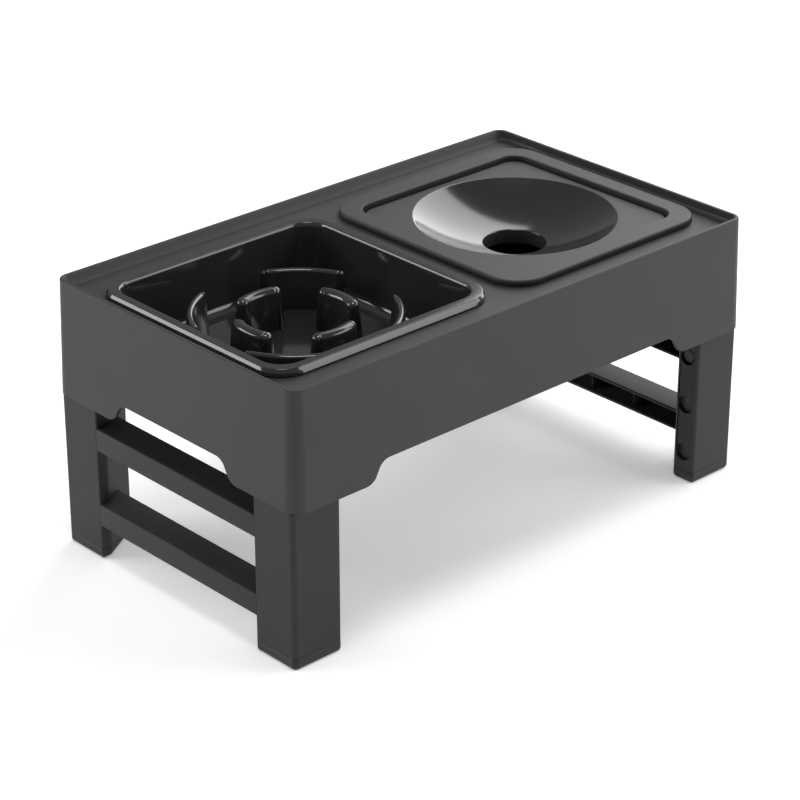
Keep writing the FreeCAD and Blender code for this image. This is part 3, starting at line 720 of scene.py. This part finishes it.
def foot_cap(name, corner):
    """Cap with a soft lower edge, and a plug that fills the end of the extension leg."""
    bm = bmesh.new()
    rows = (
        (0, 0.0), (0, foot_top), (foot_plug_inset, foot_top), (foot_plug_inset, foot_top + foot_plug_height)
    )
    loops = [post_section(bm, corner, inset, height) for inset, height in rows]
    skin(bm, loops)
    lid(bm, loops[0])
    lid(bm, loops[-1])
    round_off(bm, loops[0], foot_round)
    return finish_piece(
        bm, "foot_moulding_" + name, "extension_" + name, ["foot_cap_" + name],
        [moulded_rubber],
    )


def snap_button(name, corner):
    """Domed pin on an oblong flange."""
    bm = bmesh.new()
    side_x, side_y = corner
    low, high = box_mm("snap_button_" + name)
    back, tip = (high.x, low.x) if side_x > 0 else (low.x, high.x)
    middle_y = side_y * (leg_y - hole_offset)
    height = hole_heights[-1]
    turn = Matrix.Rotation(-side_x * math.pi / 2, 4, "Y")
    place = Matrix.Translation(((back + tip) / 2, middle_y, height)) @ turn
    bmesh.ops.create_cone(
        bm, cap_ends=True, segments=hole_steps, radius1=button_radius, radius2=button_radius,
        depth=abs(tip - back), matrix=place,
    )
    dome = [edge for edge in bm.edges if lies_at(edge, tip)]
    round_off(bm, dome, button_dome_round)
    front = back - side_x * button_flange_thickness
    half_height = button_flange_height / 2
    flange = bar(
        bm, (min(back, front), middle_y - button_radius, height - half_height),
        (max(back, front), middle_y + button_radius, height + half_height),
    )
    ends = []
    for edge in edges_at(flange):
        if abs(edge.verts[0].co.x - edge.verts[1].co.x) > button_flange_thickness / 2:
            ends.append(edge)
    round_off(bm, ends, button_radius * flange_round_share, flange_end_steps)
    return finish_piece(
        bm, "button_moulding_" + name, "button_" + name, ["snap_button_" + name],
        [spark_grained_polypropylene],
    )


def button_spring(name):
    """Bent leaf between a button's flange and its tube's far wall, which closes as the button goes in."""
    bm = bmesh.new()
    low, high = box_mm("button_spring_" + name)
    middle_x = (low.x + high.x) / 2
    half_span = (high.x - low.x) / 2
    arm = math.hypot(half_span, spring_drop)
    level = spring_leaf * arm / spring_drop
    rise = spring_leaf * arm / half_span
    bend = high.z - spring_drop
    outline = (
        (low.x, high.z), (middle_x, bend), (high.x, high.z),
        (high.x - level, high.z), (middle_x, bend + rise), (low.x + level, high.z),
    )
    verts = [bm.verts.new((x, low.y, z)) for x, z in outline]
    bm.faces.new(verts)
    for vert, run in zip((verts[1], verts[4]), spring_bend_runs):
        leaf = round_corners(bm, [vert], run)
    far = points_of(bmesh.ops.extrude_face_region(bm, geom=[leaf])["geom"])
    bmesh.ops.translate(bm, vec=(0, high.y - low.y, 0), verts=far)
    piece = finish_piece(
        bm, "spring_leaf_" + name, "extension_" + name, ["button_spring_" + name],
        [spring_steel],
    )
    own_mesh(piece)
    return piece


# Slow feeder bowl


def maze_ridges(bm, radius, base, top, half_angle, start):
    """Ring of curved ridges with drafted sides, rounded crests and rounded ends."""
    foot, crest = slow_floor - ridge_root, slow_floor + ridge_height
    crest_round = top * ridge_round_share
    axis_point = Vector((slow_x, 0, 0))
    for quarter in range(4):
        middle = math.radians(start + 90 * quarter)
        half = math.radians(half_angle)
        places = ((-base / 2, foot), (-top / 2, crest), (top / 2, crest), (base / 2, foot))
        verts = [bm.verts.new((slow_x + radius + across, 0, height)) for across, height in places]
        bm.faces.new(verts)
        section = round_corners(bm, verts[1:3], crest_round)
        bmesh.ops.rotate(
            bm, cent=axis_point, matrix=Matrix.Rotation(middle - half, 3, "Z"), verts=list(section.verts)
        )
        bmesh.ops.spin(
            bm, geom=list(section.verts) + list(section.edges) + [section], cent=axis_point, axis=(0, 0, 1),
            angle=2 * half, steps=ridge_steps,
        )
        for end in (middle - half, middle + half):
            place = axis_point + Vector((radius * math.cos(end), radius * math.sin(end), (foot + crest) / 2))
            post = bmesh.ops.create_cone(
                bm, cap_ends=True, segments=hole_steps, radius1=base / 2, radius2=top / 2, depth=crest - foot,
                matrix=Matrix.Translation(place),
            )["verts"]
            upper = [vert for vert in post if abs(vert.co.z - crest) < touching]
            round_off(bm, loop_of(upper), crest_round)


def slow_feeder_bowl():
    """Drafted bowl with a rim that hangs over its wall, and the maze on its floor."""
    bm = bmesh.new()

    def rim_plan(inset, rise, corner):
        return plan(bm, slow_length - 2 * inset, slow_width - 2 * inset, corner, slow_seat + rise, slow_x)

    def wall_plan(inset, height):
        shrink = inset + (slow_seat - height) * slow_draft
        cut = 2 * (slow_rim_overhang + shrink)
        return plan(bm, slow_length - cut, slow_width - cut, slow_body_corner - shrink, height, slow_x)

    under = wall_plan(0, slow_low.z)
    seat = wall_plan(0, slow_seat)
    rim = [rim_plan(*row) for row in slow_rim_rows]
    mouth = rim_plan(*slow_mouth)
    throat = wall_plan(slow_wall, slow_seat + slow_throat_rise)
    floor = wall_plan(slow_wall, slow_floor)
    skin(bm, [under, seat, *rim, mouth, throat, floor])
    lid(bm, under)
    lid(bm, floor)
    round_off(bm, under, slow_floor_fillet + slow_wall)
    for edges, radius in zip(rim[1:], slow_rim_rounds):
        round_off(bm, edges, radius, small_edge_steps)
    round_off(bm, mouth, slow_mouth_round)
    round_off(bm, throat, slow_throat_round)
    round_off(bm, floor, slow_floor_fillet, fillet_steps)
    for ridges in (outer_ridges, inner_ridges):
        maze_ridges(bm, **ridges)
    return finish_piece(
        bm, "slow_bowl_moulding", "slow_feeder_bowl", ["slow_feeder_bowl"],
        [polished_polypropylene],
    )


# Water bowl


def water_cover():
    """Raised frame with a skirt round it, and a collar that hangs from its opening into the basin."""
    bm = bmesh.new()
    top = cover_high.z
    under = top - cover_plate

    def cover_plan(inset, height):
        return plan(
            bm, cover_length - 2 * inset, cover_width - 2 * inset, cover_corner - inset, height, water_x
        )

    loops = [
        cover_plan(0, cover_seat),
        cover_plan(cover_slant, top),
        opening_plan(bm, 0, top),
        opening_plan(bm, 0, cover_low.z),
        opening_plan(bm, collar_wall, cover_low.z),
        opening_plan(bm, collar_wall, under),
        cover_plan(cover_skirt, under),
        cover_plan(cover_skirt, cover_seat),
    ]
    skin(bm, loops, closed=True)
    round_off(bm, loops[1], cover_round)
    round_off(bm, loops[2], opening_round)
    return finish_piece(
        bm, "water_cover_moulding", "water_cover", ["water_cover"],
        [spark_grained_polypropylene],
    )


def water_basin():
    """Drafted tub with a flange round its mouth."""
    bm = bmesh.new()
    flange_top = basin_high.z
    floor = basin_low.z + basin_wall

    def wall_plan(grow, height):
        out = collar_wall + basin_clearance + grow - (flange_top - height) * basin_draft
        return opening_plan(bm, out, height)

    flange_length = basin_high.x - basin_low.x
    flange_width = basin_high.y - basin_low.y
    flange_corner = cover_corner - (cover_length - flange_length) / 2
    flange_under = flange_top - basin_flange_thickness
    under = wall_plan(basin_wall, basin_low.z)
    seat = wall_plan(basin_wall, flange_under)
    flange_foot = plan(bm, flange_length, flange_width, flange_corner, flange_under, water_x)
    flange_crest = plan(bm, flange_length, flange_width, flange_corner, flange_top, water_x)
    mouth = wall_plan(0, flange_top)
    inside = wall_plan(0, floor)
    skin(bm, [under, seat, flange_foot, flange_crest, mouth, inside])
    lid(bm, under)
    lid(bm, inside)
    round_off(bm, under, basin_fillet + basin_wall)
    round_off(bm, inside, basin_fillet)
    return finish_piece(
        bm, "water_basin_moulding", "water_basin", ["water_basin"],
        [spark_grained_polypropylene],
    )


def float_plate():
    """Square plate with a skirt and tabs, a spherical dish sunk into it, and a neck at the dish's centre."""
    bm = bmesh.new()
    top = float_high.z
    plate_under = top - float_plate_thickness
    skirt_foot = plate_under - float_skirt_depth
    length = opening_length - 2 * float_gap
    width = opening_width - 2 * float_gap

    def plate_plan(inset, height):
        return plan(
            bm, length - 2 * inset, width - 2 * inset, opening_corner - float_gap - inset, height, water_x
        )

    sphere_radius = (dish_radius**2 + dish_depth**2) / (2 * dish_depth)
    sphere_height = top - dish_depth + sphere_radius

    def dish_rings(extra, first_radius, last_radius):
        rings = []
        for step in range(dish_steps + 1):
            radius = first_radius + (last_radius - first_radius) * step / dish_steps
            height = sphere_height - math.sqrt((sphere_radius + extra) ** 2 - radius**2)
            rings.append(ring(bm, radius, height, water_x))
        return rings

    outer_radius = math.sqrt((sphere_radius + dish_wall) ** 2 - (sphere_height - plate_under) ** 2)
    dish = dish_rings(0, dish_radius, neck_radius)
    crest = plate_plan(0, top)
    loops = [plate_plan(0, skirt_foot), crest, *dish]
    loops += [ring(bm, radius, float_low.z, water_x) for radius in (neck_radius, neck_radius + neck_wall)]
    loops += dish_rings(dish_wall, neck_radius + neck_wall, outer_radius)
    loops += [plate_plan(float_skirt_wall, plate_under), plate_plan(float_skirt_wall, skirt_foot)]
    skin(bm, loops, closed=True)
    round_off(bm, crest, float_round)
    round_off(bm, dish[0], dish_edge_round)
    round_off(bm, dish[-1], dish_edge_round)

    # Tabs that stop under the cover's collar, then the polished faces of the dish, which take the darker
    # material with painted shade
    tab_half = float_tab_width / 2
    tab_root = float_skirt_wall / 2
    tab_tip = float_gap + float_tab_catch
    tab_top = cover_low.z - float_tab_gap
    tab_foot = tab_top - float_tab_thickness
    for side in SIDES.values():
        ends = sorted((side * (length / 2 - tab_root), side * (length / 2 + tab_tip)))
        bar(bm, (water_x + ends[0], -tab_half, tab_foot), (water_x + ends[1], tab_half, tab_top))
        ends = sorted((side * (width / 2 - tab_root), side * (width / 2 + tab_tip)))
        bar(bm, (water_x - tab_half, ends[0], tab_foot), (water_x + tab_half, ends[1], tab_top))
    for face in bm.faces:
        middle = face.calc_center_median()
        inside = math.hypot(middle.x - water_x, middle.y) < dish_radius
        above = (middle - Vector((water_x, 0, sphere_height))).length < sphere_radius + dish_wall / 2
        if inside and above:
            face.material_index = 1
    return finish_piece(
        bm, "float_plate_moulding", "float_plate", ["float_plate"],
        [spark_grained_polypropylene, polished_dish_painted_shade],
    )


tray_shell()
for side_name, side_sign in SIDES.items():
    leg_frame(side_name, side_sign)
for corner_name, corner_signs in CORNERS.items():
    extension_leg(corner_name, corner_signs)
    foot_cap(corner_name, corner_signs)
    snap_button(corner_name, corner_signs)
    button_spring(corner_name)
slow_feeder_bowl()
water_cover()
water_basin()
float_plate()

# Floor, light and camera, in metres
floor_half_side = 4.0
light_target = (0.0, 0.0, 0.15)


def studio_floor():
    """Acrylic sheet lit from beneath: a white ground that keeps only a faint shadow."""
    bm = bmesh.new()
    bmesh.ops.create_grid(bm, x_segments=1, y_segments=1, size=floor_half_side)
    mesh = bpy.data.meshes.new("studio_floor")
    bm.to_mesh(mesh)
    bm.free()
    floor = bpy.data.objects.new("studio_floor", mesh)
    bpy.context.scene.collection.objects.link(floor)
    material = new_material("backlit_acrylic_sheet")
    tree = material.node_tree
    shader = add_node(
        tree, "ShaderNodeBsdfPrincipled",
        {
            "Base Color": hex_colour("#fafafa"), "Roughness": 0.8, "Emission Color": hex_colour("#ffffff"),
            "Emission Strength": 0.25,
        },
    )
    add_node(tree, "ShaderNodeOutputMaterial", {}, [("Surface", shader.outputs["BSDF"])])
    mesh.materials.append(material)


def softbox(name, place, size, power):
    """Rectangular area light that looks at the object."""
    light = bpy.data.lights.new(name, "AREA")
    light.shape = "RECTANGLE"
    light.size, light.size_y = size
    light.energy = power
    lamp = bpy.data.objects.new(name, light)
    lamp.location = place
    lamp.rotation_euler = (Vector(light_target) - Vector(place)).to_track_quat("-Z", "Y").to_euler()
    bpy.context.scene.collection.objects.link(lamp)


def camera_like_photo():
    """Camera at the photograph's angle, distance and framing."""
    data = bpy.data.cameras.new("photo_camera")
    data.sensor_width = 36.0
    data.lens = 124.2
    camera = bpy.data.objects.new("photo_camera", data)
    place = Vector((-1.1665, -1.2488, 0.9152))
    target = Vector((-0.00718, 0.0, 0.08246))
    camera.location = place
    camera.rotation_euler = (target - place).to_track_quat("-Z", "Y").to_euler()
    bpy.context.scene.collection.objects.link(camera)
    bpy.context.scene.camera = camera


studio_floor()
world = bpy.data.worlds.new("studio_walls")
bpy.context.scene.world = world
world.use_nodes = True
world.node_tree.nodes["Background"].inputs["Color"].default_value = (1.0, 1.0, 1.0, 1.0)
world.node_tree.nodes["Background"].inputs["Strength"].default_value = 0.3
softbox("left_softbox", place=(-1.58, 1.47, 0.90), size=(1.4, 0.95), power=22.0)
softbox("right_softbox", place=(1.58, -1.47, 1.05), size=(1.4, 1.5), power=21.0)
softbox("back_softbox", place=(1.97, 0.49, 1.15), size=(2.2, 2.0), power=44.0)
softbox("top_softbox", place=(-0.31, -0.33, 2.25), size=(0.8, 0.8), power=17.0)
camera_like_photo()
bpy.context.scene.view_settings.view_transform = "Standard"
